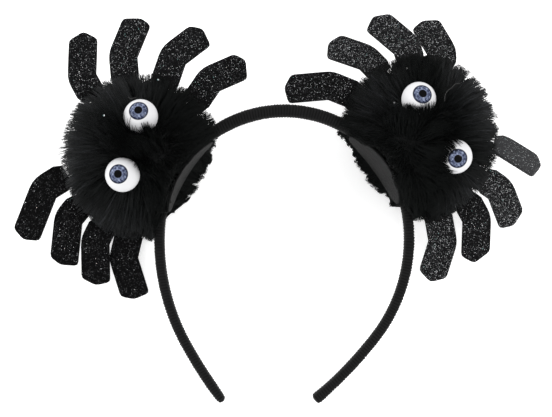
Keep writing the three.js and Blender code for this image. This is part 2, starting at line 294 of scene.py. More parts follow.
def open_sockets(tree, in_out, kinds):
    """Names the sockets of a tree, listed by kind"""
    for kind, labels in kinds.items():
        for label in labels:
            tree.interface.new_socket(label, in_out=in_out, socket_type=f"NodeSocket{kind}")


class NodeSheet:
    """Writes nodes into one tree: a socket given as a value becomes a link, anything else a setting"""

    def __init__(self, tree):
        self.tree = tree

    def put(self, socket, value):
        if isinstance(value, bpy.types.NodeSocket):
            self.tree.links.new(value, socket)
        else:
            socket.default_value = value

    def add(self, kind, inputs=None, **settings):
        node = self.tree.nodes.new(kind)
        for name, value in settings.items():
            setattr(node, name, value)
        for key, value in (inputs or {}).items():
            self.put(node.inputs[key], value)
        return node

    def first(self, kind, inputs=None, **settings):
        """The first output of a new node"""
        return self.add(kind, inputs, **settings).outputs[0]

    def math(self, operation, *values, clamp=False):
        return self.first("ShaderNodeMath", dict(enumerate(values)), operation=operation, use_clamp=clamp)

    def plus(self, a, b):
        return self.math("ADD", a, b)

    def minus(self, a, b):
        return self.math("SUBTRACT", a, b)

    def times(self, product, *factors):
        for factor in factors:
            product = self.math("MULTIPLY", product, factor)
        return product

    def vector(self, operation, *values):
        return self.first("ShaderNodeVectorMath", dict(enumerate(values)), operation=operation)

    def scaled(self, vector, factor):
        return self.first("ShaderNodeVectorMath", {0: vector, "Scale": factor}, operation="SCALE")

    def length(self, vector):
        return self.add("ShaderNodeVectorMath", {0: vector}, operation="LENGTH").outputs["Value"]

    def dot(self, a, b):
        return self.add("ShaderNodeVectorMath", {0: a, 1: b}, operation="DOT_PRODUCT").outputs["Value"]

    def xyz(self, vector):
        return self.add("ShaderNodeSeparateXYZ", {0: vector}).outputs

    def joined(self, x, y, z):
        return self.first("ShaderNodeCombineXYZ", {0: x, 1: y, 2: z})

    def mixed(self, share, a, b):
        return self.first("ShaderNodeMix", {0: share, 2: a, 3: b})

    def mixed_colour(self, share, a, b):
        return self.add("ShaderNodeMix", {0: share, 6: a, 7: b}, data_type="RGBA").outputs[2]

    def ranged(self, value, low, high, to_low=0.0, to_high=1.0, smooth=False):
        inputs = {0: value, 1: low, 2: high, 3: to_low, 4: to_high}
        kind = "SMOOTHSTEP" if smooth else "LINEAR"
        return self.first("ShaderNodeMapRange", inputs, interpolation_type=kind)

    def noise_at(self, place, scale, **more):
        return self.first("ShaderNodeTexNoise", {"Vector": place, "Scale": scale, **more})


class ShapeSheet(NodeSheet):
    """A Geometry Nodes tree with named inputs, listed by kind"""

    def __init__(self, name, **kinds):
        super().__init__(bpy.data.node_groups.new(name, "GeometryNodeTree"))
        open_sockets(self.tree, "OUTPUT", {"Geometry": ["Geometry"]})
        open_sockets(self.tree, "INPUT", {"Geometry": ["Geometry"], **kinds, "Material": ["Finish"]})
        self.given = self.add("NodeGroupInput").outputs
        self.result = self.add("NodeGroupOutput").inputs

    def named(self, name, kind="FLOAT"):
        return self.first("GeometryNodeInputNamedAttribute", {"Name": name}, data_type=kind)

    def named_vector(self, name):
        return self.named(name, "FLOAT_VECTOR")

    def store(self, geometry, **values):
        """Keeps each value on the points under its name"""
        for name, value in values.items():
            inputs = {"Geometry": geometry, "Name": name, "Value": value}
            kind = "FLOAT_VECTOR" if value.type == "VECTOR" else "FLOAT"
            geometry = self.first("GeometryNodeStoreNamedAttribute", inputs, data_type=kind, domain="POINT")
        return geometry

    def scattered(self, density, seed):
        inputs = {"Mesh": self.given["Geometry"], "Density": density, "Seed": seed}
        return self.add("GeometryNodeDistributePointsOnFaces", inputs).outputs

    def random_node(self, draw, ends, each, kind):
        """One draw for each point, or for each of the given marks"""
        inputs = {**ends, "Seed": SEEDS[draw]}
        if each is not None:
            inputs["ID"] = each
        return self.add("FunctionNodeRandomValue", inputs, data_type=kind).outputs

    def random(self, draw, low, high, each=None):
        return self.random_node(draw, {2: low, 3: high}, each, "FLOAT")[1]

    def random_vector(self, draw, each=None):
        ends = {0: (-1.0, -1.0, -1.0), 1: (1.0, 1.0, 1.0)}
        return self.random_node(draw, ends, each, "FLOAT_VECTOR")[0]

    def close(self, geometry, smooth=True):
        """Realizes what is left of the instances and gives it the finish"""
        real = self.first("GeometryNodeRealizeInstances", {"Geometry": geometry})
        shaded = self.first("GeometryNodeSetShadeSmooth", {"Geometry": real, "Shade Smooth": smooth})
        inputs = {"Geometry": shaded, "Material": self.given["Finish"]}
        self.put(self.result[0], self.first("GeometryNodeSetMaterial", inputs))
        return self.tree


# What only the trees read
HELPERS = {"comb", "tip", "thick", "tufted", "deep", "heading"}
HELPERS |= {"gather", "root", "tuft", "stray", "sway", "glint"}


def grown(name, guide, tree, **values):
    """The tree's result on a guide mesh, as a plain mesh"""
    carrier = linked(f"{name}_guide", guide)
    modifier = carrier.modifiers.new("grow", "NODES")
    modifier.node_group = tree
    for item in tree.interface.items_tree:
        if item.in_out == "INPUT" and item.name in values:
            modifier[item.identifier] = values[item.name]
    ready = carrier.evaluated_get(bpy.context.evaluated_depsgraph_get())
    mesh = bpy.data.meshes.new_from_object(ready)
    mesh.name = name
    bpy.data.objects.remove(carrier)
    unmark(mesh, HELPERS)
    return mesh


# Finishes


def fibre_group():
    """Matted fibres: a height for bump and a mask for colour, at the given size in metres"""
    tree = bpy.data.node_groups.new("fibres", "ShaderNodeTree")
    open_sockets(tree, "OUTPUT", {"Float": ["Height", "Mask"]})
    open_sockets(tree, "INPUT", {"Vector": ["Place"], "Float": ["Size", "Clumps"]})
    sheet = NodeSheet(tree)
    given = sheet.add("NodeGroupInput").outputs
    result = sheet.add("NodeGroupOutput").inputs
    scale = sheet.math("DIVIDE", 1.0, given["Size"])
    threads = sheet.noise_at(given["Place"], scale, Detail=4.0, Roughness=0.65, Distortion=1.5)
    clumps = sheet.noise_at(given["Place"], sheet.math("DIVIDE", scale, given["Clumps"]), Detail=2.0)
    sheet.put(result["Height"], sheet.mixed(0.35, threads, clumps))
    sheet.put(result["Mask"], sheet.times(threads, clumps))
    return tree


FIBRES = fibre_group()


class FinishSheet(NodeSheet):
    """A material, with the plain settings of its Principled shader"""

    def __init__(self, name, plain):
        self.material = bpy.data.materials.new(name)
        self.material.use_nodes = True
        super().__init__(self.material.node_tree)
        self.shader = self.tree.nodes["Principled BSDF"].inputs
        self.place = self.add("ShaderNodeTexCoord").outputs["Object"]
        for label, value in plain.items():
            self.give(label, value)

    def give(self, label, value):
        self.put(self.shader[label], value)

    def marked(self, name, output="Fac"):
        """What is stored on the mesh under this name"""
        return self.add("ShaderNodeAttribute", attribute_name=name).outputs[output]

    def fibres(self, size, clumps):
        inputs = {"Place": self.place, "Size": size, "Clumps": clumps}
        return self.add("ShaderNodeGroup", inputs, node_tree=FIBRES).outputs

    def bump(self, height, strength, distance):
        inputs = {"Height": height, "Strength": strength, "Distance": distance}
        self.give("Normal", self.first("ShaderNodeBump", inputs))


def fibre_finish(name, fibre, dark, light, plain, bump=None):
    """Fibres of one size in metres, so many to a clump, in two tones, with a bump's strength and depth"""
    sheet = FinishSheet(name, plain)
    fibres = sheet.fibres(*fibre)
    sheet.give("Base Color", sheet.mixed_colour(fibres["Mask"], dark, light))
    if bump:
        sheet.bump(fibres["Height"], *bump)
    return sheet.material


def backing_finish():
    plain = {"Roughness": 0.95, "Specular IOR Level": 0.05}
    tones = (0.008, 0.0085, 0.0085, 1), (0.016, 0.017, 0.017, 1)
    return fibre_finish("fur_backing", (0.0006, 5.0), *tones, plain, bump=(0.6, 0.0006))


def felt_finish():
    plain = {"Roughness": 0.95, "Specular IOR Level": 0.06, "Sheen Weight": 0.045, "Sheen Roughness": 0.4}
    tones = (0.002, 0.002, 0.002, 1), (0.0155, 0.0155, 0.016, 1)
    return fibre_finish("pad_felt", (0.0005, 6.0), *tones, plain, bump=(0.6, 0.0004))


def lint_finish():
    tones = (0.02, 0.02, 0.02, 1), (0.18, 0.176, 0.172, 1)
    return fibre_finish("fur_lint", (0.0008, 4.0), *tones, {"Roughness": 0.7})


def paper_finish():
    plain = {"Roughness": 0.9, "Specular IOR Level": 0.1}
    plain.update({"Emission Color": (1, 1, 1, 1), "Emission Strength": 0.4})
    tones = (0.93, 0.93, 0.93, 1), (0.95, 0.95, 0.95, 1)
    return fibre_finish("paper", (0.002, 20.0), *tones, plain)


def wrap_finish():
    """Fibres with painted shade in the grooves between the turns, darkest there"""
    plain = {"Roughness": 0.8, "Specular IOR Level": 0.1, "Sheen Weight": 0.06, "Sheen Roughness": 0.5}
    sheet = FinishSheet("band_wrap", plain)
    fibres = sheet.fibres(0.00035, 9.0)
    thread = sheet.mixed_colour(fibres["Mask"], (0.0035, 0.0035, 0.0037, 1), (0.013, 0.013, 0.0137, 1))
    # Painted shade: the grooves between the turns are painted near black, the crests keep the thread's colour
    shade = sheet.ranged(sheet.marked("crest"), 0.35, 0.95)
    sheet.give("Base Color", sheet.mixed_colour(shade, (0.0008, 0.0008, 0.0008, 1), thread))
    sheet.bump(fibres["Height"], 0.5, 0.0003)
    return sheet.material


def fur_finish():
    """Painted light: roots painted lighter than the dark strands against the shade deep in the fur, and
    painted sheen, a few light strands in the sheen patches, with a coat gloss there
    """
    sheet = FinishSheet("pompom_fur", {"Roughness": 0.45, "Specular IOR Level": 0.01, "Coat Roughness": 0.4})
    # Painted sheen: the sheen patches paint a few strands lighter and give the coat its gloss
    painted_sheen_and_gloss = sheet.marked("painted_sheen_and_gloss")
    rare = sheet.ranged(sheet.math("POWER", sheet.marked("tone"), 8.0), 0.0, 1.0, 0.1, 1.0)
    light = sheet.times(rare, painted_sheen_and_gloss)
    strand = sheet.mixed_colour(light, (0.0078, 0.0086, 0.0084, 1), (0.05, 0.053, 0.059, 1))
    # Painted fill light: the roots are painted lighter than the strands' dark tone, lifting the shade deep in
    # the fur
    root = sheet.ranged(sheet.marked("along"), 0.0, 0.75)
    sheet.give("Base Color", sheet.mixed_colour(root, (0.011, 0.012, 0.0118, 1), strand))
    sheet.give("Coat Weight", sheet.times(painted_sheen_and_gloss, 0.25))
    return sheet.material


def foam_finish():
    """Black foam sheet with the finest glitter dust, too small to model, and each leg greyed by a painted
    sheen
    """
    sheet = FinishSheet("leg_foam", {"Specular IOR Level": 0.03})
    dust = sheet.add("ShaderNodeTexVoronoi", {"Vector": sheet.place, "Scale": 2400.0})
    spark = sheet.math("POWER", sheet.xyz(dust.outputs["Color"])[0], 14.0)
    # Painted sheen: each leg's foam colour is greyed by its own amount, for the light that leg catches
    base = sheet.mixed_colour(sheet.marked("painted_leg_sheen"), (0.001, 0.001, 0.0011, 1), (0.06, 0.061, 0.064, 1))
    sheet.give("Base Color", sheet.mixed_colour(spark, base, (0.045, 0.045, 0.047, 1)))
    grain = sheet.noise_at(sheet.place, 1500.0, Detail=3.0)
    sheet.give("Roughness", sheet.ranged(grain, 0.3, 0.7, 0.4, 0.7))
    sheet.bump(grain, 0.3, 0.0001)
    return sheet.material


def flake_finish():
    """Silver, now and then teal, each flake as bright as it flashes"""
    sheet = FinishSheet("leg_glitter", {"Metallic": 1.0, "Roughness": 0.3})
    teal = sheet.ranged(sheet.marked("tint"), 0.95, 1.0)
    metal = sheet.mixed_colour(teal, (0.7, 0.71, 0.73, 1), (0.25, 0.58, 0.55, 1))
    sheet.give("Base Color", sheet.mixed_colour(sheet.marked("flash"), (0.006, 0.006, 0.006, 1), metal))
    return sheet.material


def eye_finish():
    """White ball with a printed iris: a dark outer ring, streaks and a pale ring round the pupil"""
    plain = {"Roughness": 0.25, "Specular IOR Level": 0.01, "Coat Weight": 0.1, "Coat Roughness": 0.04}
    sheet = FinishSheet("eye_plastic", plain)
    x, y, z = sheet.xyz(sheet.marked("gaze", "Vector"))
    off = sheet.math("SQRT", sheet.plus(sheet.times(x, x), sheet.times(y, y)))
    angle = sheet.math("ARCTAN2", y, x)
    around = sheet.joined(sheet.math("COSINE", angle), sheet.math("SINE", angle), sheet.times(off, 2.5))
    streaks = sheet.noise_at(around, 3.2, Detail=5.0, Roughness=0.8)
    streak = sheet.math("POWER", sheet.ranged(streaks, 0.42, 0.64), 1.7)
    iris = sheet.mixed_colour(streak, (0.009, 0.013, 0.04, 1), (0.31, 0.36, 0.5, 1))
    pale = sheet.ranged(off, *PALE_RING, 1.0, 0.0, smooth=True)
    iris = sheet.mixed_colour(sheet.times(pale, 0.45), iris, (0.17, 0.2, 0.3, 1))
    ring = sheet.ranged(off, *DARK_RING, smooth=True)
    iris = sheet.mixed_colour(sheet.times(ring, 0.92), iris, (0.006, 0.007, 0.018, 1))
    pupil = sheet.ranged(off, *PUPIL_EDGE, 1.0, 0.0, smooth=True)
    iris = sheet.mixed_colour(pupil, iris, (0.001, 0.001, 0.0012, 1))
    front = sheet.math("GREATER_THAN", z, 0.0)
    printed = sheet.times(sheet.ranged(off, *IRIS_EDGE, 1.0, 0.0, smooth=True), front)
    sheet.give("Base Color", sheet.mixed_colour(printed, (0.6, 0.6, 0.61, 1), iris))
    return sheet.material


# Band


def arm_arcs(arm):
    """The arcs of one arm, from the crown down to the tip, each touching the one before"""
    centre = np.zeros(2)
    radius = CROWN_RADIUS
    start = arm["leaves"]
    arcs = []
    for arc_radius, sweep in arm["arcs"]:
        centre = centre + towards(start, radius - arc_radius)
        radius = arc_radius
        end = start + arm["turn"] * sweep
        arcs.append((centre, radius, start, end))
        start = end
    return arcs


def hoop_line(spacing):
    """Points of the centre line in the hoop's plane, from the left tip over the crown to the right tip"""
    left = [(centre, radius, end, start) for centre, radius, start, end in reversed(arm_arcs(LEFT_ARM))]
    crown = (np.zeros(2), CROWN_RADIUS, LEFT_ARM["leaves"], RIGHT_ARM["leaves"])
    points = []
    for centre, radius, start, end in [*left, crown, *arm_arcs(RIGHT_ARM)]:
        steps = round(abs(math.radians(end - start)) * radius / spacing)
        turns = np.linspace(start, end, steps + 1)[1 if points else 0 :]
        points.extend(centre + towards(turn, radius) for turn in turns)
    return np.array(points)


def band_guide():
    line = hoop_line(1.0)
    steps = np.linalg.norm(np.diff(line, axis=0), axis=1)
    length = steps.sum()
    along = np.concatenate([[0], np.cumsum(steps)]) / length
    flat = np.column_stack([line, np.zeros(len(line))])
    edges = [(i, i + 1) for i in range(len(line) - 1)]
    mesh = drawn_mesh("band_guide", in_row(flat).tolist(), edges, [])
    mark(mesh, "thick", np.interp(along, BAND_ALONG, BAND_THICK) * MM)
    mark(mesh, "deep", np.interp(along, BAND_ALONG, BAND_DEEP) * MM)
    return mesh, length * MM


def wound_tree():
    """A tube along the guide, wound with cord that leaves a helical rib"""
    sheet = ShapeSheet(
        "wound_band",
        Vector=["Axis"],
        Float=["Length", "Turns", "Height", "Fuzz", "Squareness"],
        Int=["Along", "Round"],
    )
    given = sheet.given
    path = sheet.first("GeometryNodeMeshToCurve", {"Mesh": given["Geometry"]})
    size = {"Size X": 1.0, "Size Y": 1.0, "Vertices X": given["Along"], "Vertices Y": given["Round"]}
    skin = sheet.first("GeometryNodeMeshGrid", size)
    flat = sheet.xyz(sheet.first("GeometryNodeInputPosition"))
    along = sheet.plus(flat[0], 0.5)
    turn = sheet.times(flat[1], 2 * math.pi)

    def sampled(name):
        inputs = {"Curves": path, "Value": sheet.named(name), "Factor": along}
        return sheet.add("GeometryNodeSampleCurve", inputs, mode="FACTOR", use_all_curves=True).outputs

    thick = sampled("thick")
    deep = sampled("deep")
    side = sheet.vector("NORMALIZE", sheet.vector("CROSS_PRODUCT", given["Axis"], thick["Tangent"]))

    # Rib phase, with a slow wander so that no two turns are quite alike
    spot = sheet.joined(sheet.times(along, WRAP_WANDER_ALONG), flat[1], 0.0)
    wander = sheet.minus(sheet.noise_at(spot, 1.0, Detail=1.0), 0.5)
    phase = sheet.plus(sheet.times(along, given["Turns"]), flat[1])
    phase = sheet.plus(phase, sheet.times(wander, WRAP_WANDER))
    crest = sheet.math("ABSOLUTE", sheet.math("SINE", sheet.times(phase, math.pi)))
    crest = sheet.math("POWER", crest, WRAP_ROUNDNESS)
    rib = sheet.times(sheet.minus(crest, WRAP_SINK), given["Height"])
    spot = sheet.joined(sheet.times(along, WRAP_FUZZ_ALONG), sheet.times(flat[1], WRAP_FUZZ_ROUND), 0.0)
    tangle = sheet.ranged(sheet.noise_at(spot, 1.0, Detail=2.0), 0.25, 0.75, -1.0, 1.0)
    rib = sheet.plus(rib, sheet.times(tangle, given["Fuzz"]))

    # Round both ends off over a short way
    from_end = sheet.math("MINIMUM", along, sheet.minus(1.0, along))
    share = sheet.math("DIVIDE", sheet.times(from_end, given["Length"]), BAND_END_ROUNDING * MM, clamp=True)
    short = sheet.minus(1.0, share)
    dome = sheet.math("SQRT", sheet.minus(1.0, sheet.times(short, short)))

    def reach(width, value):
        """Along one axis of the section, which is between round and square"""
        power = sheet.math("DIVIDE", 2.0, given["Squareness"])
        squarer = sheet.math("POWER", sheet.math("ABSOLUTE", value), power)
        half = sheet.plus(sheet.times(width, 0.5), rib)
        return sheet.times(half, dome, sheet.times(sheet.math("SIGN", value), squarer))

    across = sheet.scaled(side, reach(thick["Value"], sheet.math("COSINE", turn)))
    up = sheet.scaled(given["Axis"], reach(deep["Value"], sheet.math("SINE", turn)))
    place = sheet.vector("ADD", thick["Position"], sheet.vector("ADD", across, up))
    marked = sheet.store(skin, crest=crest)
    moved = sheet.first("GeometryNodeSetPosition", {"Geometry": marked, "Position": place})
    return sheet.close(sheet.first("GeometryNodeMergeByDistance", {"Geometry": moved, "Distance": 0.00001}))


def make_band():
    guide, length = band_guide()
    material = wrap_finish()
    mesh = grown(
        "band_wound",
        guide,
        wound_tree(),
        Axis=tuple(HOOP_AXIS),
        Length=length,
        Turns=length / (WRAP_PITCH * MM),
        Height=WRAP_HEIGHT * MM,
        Fuzz=WRAP_FUZZ * MM,
        Squareness=BAND_SQUARENESS,
        Along=BAND_STEPS,
        Round=BAND_SIDES,
        Finish=material,
    )
    show("band_wound", mesh, material, "band_wrap", "band")


# Pads


def seat_on_hoop(angle, roll):
    """From the pad's own frame, x out from the hoop's axis, to the hoop's frame"""
    place = towards(angle, PAD_RADIUS)
    turn = Euler((0, math.radians(roll), math.radians(angle)), "XYZ").to_matrix().to_4x4()
    return Matrix.Translation((place[0], place[1], 0)) @ turn


def make_pad(spider, material):
    """A felt disc with a soft rim, bent about the hoop's axis and a little uneven"""
    rim_turns = np.linspace(0, math.pi / 2, 6)[1:]
    rings = np.concatenate([np.linspace(0, PAD_FLAT, 24)[1:], PAD_FLAT + PAD_RIM * np.sin(rim_turns)])
    half = PAD_THICK / 2 * np.sqrt(1 - np.clip((rings - PAD_FLAT) / PAD_RIM, 0, 1) ** 2)
    upper = list(zip(rings, half))
    lower = [(share, -height) for share, height in upper[-2::-1]]
    turns = np.linspace(0, 2 * math.pi, PAD_SIDES, endpoint=False)
    points = []
    for share, height in [(0, PAD_THICK / 2), *upper, *lower, (0, -PAD_THICK / 2)]:
        for turn in turns if share > 0 else [0]:
            y = share * PAD_DIAMETER / 2 * math.cos(turn)
            z = share * PAD_DIAMETER / 2 * math.sin(turn)
            lump = PAD_LUMP * noise.noise(Vector((y, z, spider["seed"])) * PAD_LUMP_SCALE)
            radius = PAD_RADIUS + height + lump
            points.append((math.sqrt(radius**2 - y**2) - PAD_RADIUS, y, z, 1))
    seat = np.array(seat_on_hoop(spider["pad"]["at"], spider["pad"]["roll"]))
    spots = in_row((np.array(points) @ seat.T)[:, :3])

    faces = []
    lowest = len(points) - 1
    last_ring = lowest - PAD_SIDES
    for k in range(PAD_SIDES):
        after = (k + 1) % PAD_SIDES
        faces.append((0, 1 + k, 1 + after))
        for a in range(1, last_ring, PAD_SIDES):
            faces.append((a + k, a + PAD_SIDES + k, a + PAD_SIDES + after, a + after))
        faces.append((lowest, last_ring + after, last_ring + k))
    name = f"{spider['side']}_felt_pad"
    mesh = drawn_mesh(name, spots.tolist(), [], faces)
    mesh.shade_smooth()
    piece = show(name, mesh, material, "pad_felt", f"{spider['side']}_pad")


# Eyes


def make_eye(node, eye, material):
    ball = bmesh.new()
    bmesh.ops.create_uvsphere(ball, u_segments=64, v_segments=40, radius=1)
    mesh = shaped_mesh(f"{node}_ball", ball)
    local = np.array([vertex.co for vertex in mesh.vertices])
    mark(mesh, "gaze", local, "FLOAT_VECTOR")
    yaw, pitch = eye["gaze"]
    gaze = Euler((-math.radians(pitch), math.radians(yaw), 0), "YXZ").to_matrix()
    turn = np.array(HOOP_TURN @ gaze)
    spots = local @ turn.T * (EYE_DIAMETER / 2 * MM) + np.array(node_middle(node))
    mesh.vertices.foreach_set("co", spots.ravel())
    mesh.shade_smooth()
    show(f"{node}_ball", mesh, material, "eye_plastic", node)


# Legs


def leg_pieces(spider, material):
    """Foam strips with their cut edges eased; returns the faces that carry the glitter"""
    faces = []
    for number in range(1, LEG_COUNT + 1):
        node = f"{spider['side']}_leg_{number}"
        strip = bmesh.new()
        strip.from_mesh(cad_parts[node].data)
        bmesh.ops.remove_doubles(strip, verts=strip.verts[:], dist=0.000002)
        flat = {"angle_limit": math.radians(0.5), "verts": strip.verts[:], "edges": strip.edges[:]}
        bmesh.ops.dissolve_limit(strip, **flat)
        front = [face for face in strip.faces if face.normal.dot(HOOP_AXIS) > 0.5]
        strewn = spider["glitter"][number - 1]
        faces.extend(([vertex.co.copy() for vertex in face.verts], strewn) for face in front)
        sharp = [edge for edge in strip.edges if edge.calc_face_angle(0) > 0.6]
        eased = {"offset": LEG_EASING * MM, "segments": 2, "profile": 0.5, "affect": "EDGES"}
        bmesh.ops.bevel(strip, geom=sharp, **eased)
        mesh = shaped_mesh(f"{node}_foam", strip)
        # Each leg's painted sheen, a grey laid into its foam colour
        mark(mesh, "painted_leg_sheen", [spider["painted_leg_sheen"][number - 1]] * len(mesh.vertices))
        show(f"{node}_foam", mesh, material, "leg_foam", node)
    return faces


def glitter_tree():
    """Flakes pressed into a face, each turned and tilted its own way"""
    sheet = ShapeSheet(
        "glitter",
        Float=["Density", "Flake", "Tilt", "Buried", "Short_Share"],
        Vector=["Centre", "Short_Way"],
        Int=["Seed"],
    )
    given = sheet.given
    scatter = sheet.scattered(sheet.times(given["Density"], sheet.named("glint")), given["Seed"])

    # None under the fur
    apart = sheet.vector("SUBTRACT", sheet.first("GeometryNodeInputPosition"), given["Centre"])
    facing = sheet.math("MAXIMUM", sheet.dot(sheet.vector("NORMALIZE", apart), given["Short_Way"]), 0.0)
    share = sheet.times(facing, facing, given["Short_Share"])
    reach = sheet.times(given["Buried"], sheet.minus(1.0, share))
    buried = sheet.math("LESS_THAN", sheet.length(apart), reach)
    inputs = {"Geometry": scatter["Points"], "Selection": buried}
    points = sheet.first("GeometryNodeDeleteGeometry", inputs)
    bright = sheet.math("POWER", sheet.random("flash", 0.0, 1.0), 3.0)
    points = sheet.store(points, flash=bright, tint=sheet.random("tint", 0.0, 1.0))

    most = sheet.joined(given["Tilt"], given["Tilt"], math.pi)
    lean = sheet.vector("MULTIPLY", sheet.random_vector("lean"), most)
    turn = sheet.first("FunctionNodeEulerToRotation", {"Euler": lean})
    inputs = {"Rotation": scatter["Rotation"], "Rotate By": turn}
    turned = sheet.first("FunctionNodeRotateRotation", inputs, rotation_space="LOCAL")
    cone = {"Vertices": 4, "Radius Top": 0.0, "Radius Bottom": given["Flake"]}
    cone["Depth"] = sheet.times(given["Flake"], FLAKE_DEPTH)
    flake = sheet.first("GeometryNodeMeshCone", cone, fill_type="NGON")
    size = sheet.random("size", 0.6, 1.35)
    inputs = {"Points": points, "Instance": flake, "Rotation": turned}
    inputs["Scale"] = sheet.joined(size, size, size)
    return sheet.close(sheet.first("GeometryNodeInstanceOnPoints", inputs), smooth=False)


def make_glitter(spider, faces, tree, material):
    name = f"{spider['side']}_glitter"
    corners = [corner for face, _ in faces for corner in face]
    starts = np.cumsum([0] + [len(face) for face, _ in faces])
    outlines = [list(range(a, b)) for a, b in zip(starts, starts[1:])]
    guide = drawn_mesh(f"{name}_faces", corners, [], outlines)
    mark(guide, "glint", [strewn for face, strewn in faces for _ in face])
    mesh = grown(
        name,
        guide,
        tree,
        Density=FLAKE_DENSITY,
        Flake=FLAKE_WIDTH * MM,
        Tilt=FLAKE_TILT,
        Centre=tuple(HOOP @ Vector((*spider["centre"], 0))),
        Buried=(FUR_REACH + FLAKE_CLEAR) * MM,
        Short_Way=tuple(HOOP_TURN @ Vector((*towards(spider["short"]["bearing"]), 0))),
        Short_Share=spider["short"]["share"],
        Seed=spider["seed"],
        Finish=material,
    )
    show(name, mesh, material, "leg_foam")


# Fur

# Lengths are in millimetres, angles at an eye in degrees from its middle, and a pair is a start and a width
HEAD_INSIDE = 0.7
LEAST_STRAND = 0.8
FRINGE_THICKER = 4
FRINGE_LONGER = 3
FRINGE_CURL = 0.3
FRINGE_RAGGED = 2.2
DRIFT = 0.09
DRIFT_SCALE = 3.2
PATCH = 0.02
PATCH_SCALE = 5
WHORL_SMOOTHER = 0.7
EYE_BARE = 14
EYE_PARTED = (30, 14)
EYE_STRAIGHT = (40, 12)
EYE_LEAN = 0.06
EYE_SHORTER = 2
COVER_EDGE = 0.4
COVER_WITHIN = 36
COVER_NEAREST = 13
COVER_STAGGER = 0.6
COVER_LAID = 1.25
COVER_MOST = 22
COVER_THICKER = 5
COVER_LOOSER = 0.75
SHEEN_EDGE = 1.5
STRAND_WIDTH = 0.2
STRAND_JOINTS = 4
TIP_THINNER = 0.6
RAGGED = 0.012
FLOOR_CLEAR = 0.8
FLOOR_UNEVEN = 0.4

# Two coats: long tufts outside, finer ones under them
COATS = {
    "outer": {
        "strands": 9700,
        "tufts": 850,
        "seed": 0,
        "inputs": {"Reach": 1.0, "Stray": 0.035, "Sway": 0.09},
    },
    "under": {
        "strands": 9200,
        "tufts": 1600,
        "seed": 50,
        "inputs": {"Reach": 0.985, "Stray": 0.035, "Sway": 0.08},
    },
}


def clipped(values):
    return np.clip(values, 0, 1)


def unit(vectors):
    """One vector or rows of them at length one"""
    return vectors / np.maximum(np.linalg.norm(vectors, axis=-1, keepdims=True), 1e-6)


def degrees_off(ways, way):
    return np.degrees(np.arccos(np.clip(ways @ way, -1, 1)))


def solid_reach(spider, centre, ways):
    """How far the CAD solid reaches from the centre each way, which is the room up to the neighbours"""
    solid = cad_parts[f"{spider['side']}_pompom"].data
    tree = BVHTree.FromPolygons([v.co for v in solid.vertices], [tuple(p.vertices) for p in solid.polygons])
    hits = [tree.ray_cast(Vector(centre), Vector(way))[3] for way in ways]
    return np.array([hit if hit else FUR_REACH * MM for hit in hits]) / MM


def combed(spider, ways, facing, whorl):
    """Away from the whorl, more on the side that the fur is combed towards, with some drift"""
    away = unit(ways * facing[:, None] - whorl)
    comb = spider["comb"]
    lean = clipped(0.5 + 0.6 * (away @ unit(np.array(comb["toward"]))))
    strength = comb["least"] + (comb["most"] - comb["least"]) * lean
    strength *= clipped(1 - facing**2) * clipped(facing + 0.5) ** 0.5 * 1.2
    noise.seed_set(NOISE_SEED)
    start = Vector((spider["seed"], 0, 0))
    drift = np.array([noise.noise_vector(Vector(way) * DRIFT_SCALE + start) for way in ways])
    drift -= ways * np.sum(drift * ways, axis=1)[:, None]
    return away * strength[:, None] + drift * DRIFT


